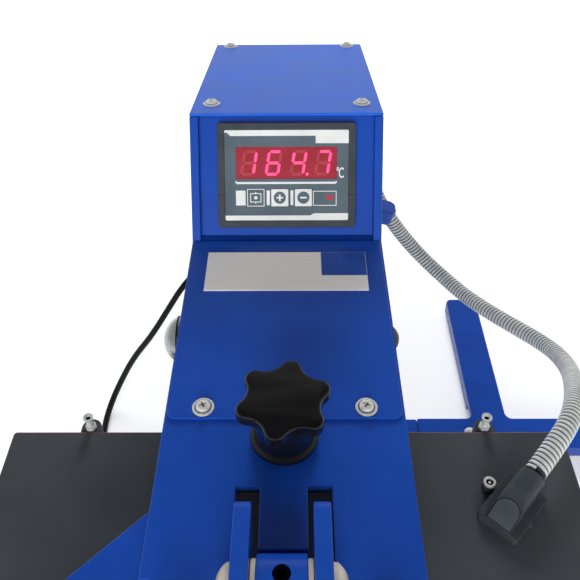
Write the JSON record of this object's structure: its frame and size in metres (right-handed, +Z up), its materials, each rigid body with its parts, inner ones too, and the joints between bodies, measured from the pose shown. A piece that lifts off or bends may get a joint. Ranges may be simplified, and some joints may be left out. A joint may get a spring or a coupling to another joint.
{
  "type": "swing-away heat press",
  "caption": "Swing-away heat press with a square heated platen on a swinging beam, a lever handle, a star pressure knob and a sloping digital control box.",
  "frame": {"origin": "on the bench, under the axis of the swing column", "axes": "+Z up, -Y towards the operator, +X to the operator's right, the side the head swings to; modelled closed, with the lever down"},
  "size_m": [0.6423, 0.7999, 0.3818],
  "materials": {
    "blue_enamel": "glossy blue baked enamel on steel",
    "lid_enamel": "glossy blue baked enamel on sheet steel",
    "charcoal_coating": "smooth dark grey non-stick coating on aluminium",
    "platen_aluminium": "cast aluminium",
    "steel": "machined steel",
    "bright_screws": "bright zinc-plated steel",
    "black_screws": "black oxide steel",
    "bronze": "sintered bronze",
    "black_plastic": "moulded black plastic",
    "grey_face": "slate grey printed face",
    "key_white": "white key under the face foil",
    "red_window": "dark red display window",
    "display": "red seven-segment display",
    "cream_plastic": "cream moulded plastic",
    "grip_rubber": "black rubber",
    "silicone": "silicone sponge rubber",
    "cord_rubber": "black flexible cord",
    "conduit_metal": "interlocked zinc-plated strip",
    "plate_foil": "printed foil, blank",
    "ceramic_wool": "ceramic fibre blanket",
    "element_sheath": "sheathed heating element"
  },
  "bodies": {
    "base": {"base_frame": "blue_enamel", "outrigger": "blue_enamel", "base_screws": "bright_screws", "rubber_feet": "grip_rubber", "column": "blue_enamel", "swing_pin": "steel", "platen_pedestal": "blue_enamel", "lower_platen": "platen_aluminium", "silicone_pad": "silicone", "mains_coil": "cord_rubber", "mains_plug": "black_plastic", "mains_cord": "cord_rubber"},
    "head": {"head_beam": "blue_enamel", "bronze_bushes": "bronze", "front_panel": "blue_enamel", "back_panel": "blue_enamel", "box_lid": "lid_enamel", "flanged_screws": "bright_screws", "cover_sheet": "blue_enamel", "nameplate": "plate_foil", "controller_bezel": "black_plastic", "controller_case": "black_plastic", "controller_face": "grey_face", "display_window": "red_window", "led_display": "display", "switch_body": "black_plastic", "cable_gland": "black_plastic", "conduit_fittings": "bright_screws", "conduit_lug": "blue_enamel", "metal_conduit": "conduit_metal", "pressure_arm": "steel", "arm_bolt": "bright_screws", "pressure_block": "steel", "socket_screws": "black_screws", "lever_shaft": "steel", "shaft_caps": "cream_plastic", "nylon_washers": "cream_plastic", "swing_bracket": "blue_enamel", "swing_grip": "grip_rubber"},
    "lever": {"lever_arms": "blue_enamel", "load_pin": "steel", "handle_bar": "steel", "handle_grips": "grip_rubber"},
    "platen": {"heater_plate": "platen_aluminium", "heating_element": "element_sheath", "insulation_blanket": "ceramic_wool", "heater_cover": "charcoal_coating", "platen_yoke": "steel", "guide_rods": "steel", "platen_studs": "bright_screws", "edge_screws": "bright_screws", "heater_connector": "black_plastic", "temperature_probe": "steel"},
    "pad": {"pressure_pad": "bronze"},
    "knob": {"spindle": "steel", "star_knob": "black_plastic"},
    "key_set": {"key_set": "key_white"},
    "key_plus": {"key_plus": "key_white"},
    "key_minus": {"key_minus": "key_white"},
    "rocker": {"switch_rocker": "black_plastic"}
  },
  "joints": [
    {"name": "head_swing", "type": "hinge", "parent": "base", "child": "head", "pos_m": [0, 0, 0.235], "axis": [0, 0, 1], "range_deg": [0, 100], "deforming": ["mains_cord"]},
    {"name": "lever_lift", "type": "hinge", "parent": "head", "child": "lever", "pos_m": [0, -0.4155, 0.32], "axis": [-1, 0, 0], "range_deg": [0, 60]},
    {"name": "platen_lift", "type": "slide", "parent": "head", "child": "platen", "axis": [0, 0, 1], "range_m": [0, 0.033], "deforming": ["metal_conduit"]},
    {"name": "pad_travel", "type": "slide", "parent": "head", "child": "pad", "axis": [0, 0, 1], "range_m": [0, 0.0035]},
    {"name": "knob_turn", "type": "hinge", "parent": "pad", "child": "knob", "pos_m": [0, -0.333, 0.33], "axis": [0, 0, 1], "range_deg": [0, 720]},
    {"name": "key_set_press", "type": "slide", "parent": "head", "child": "key_set", "axis": [0, 0.8141, -0.5807], "range_m": [0, 0.0005], "stiffness_N_per_m": 2000},
    {"name": "key_plus_press", "type": "slide", "parent": "head", "child": "key_plus", "axis": [0, 0.8141, -0.5807], "range_m": [0, 0.0005], "stiffness_N_per_m": 2000},
    {"name": "key_minus_press", "type": "slide", "parent": "head", "child": "key_minus", "axis": [0, 0.8141, -0.5807], "range_m": [0, 0.0005], "stiffness_N_per_m": 2000},
    {"name": "mains_switch", "type": "hinge", "parent": "head", "child": "rocker", "pos_m": [0.032, 0.07286, 0.279], "axis": [1, 0, 0], "range_deg": [0, 16]}
  ],
  "couplings": [
    {"joint": "platen_lift", "follows": "lever_lift", "m_per_rad": 0.031513},
    {"joint": "knob_turn", "follows": "pad_travel", "rad_per_m": 3590.4}
  ]
}
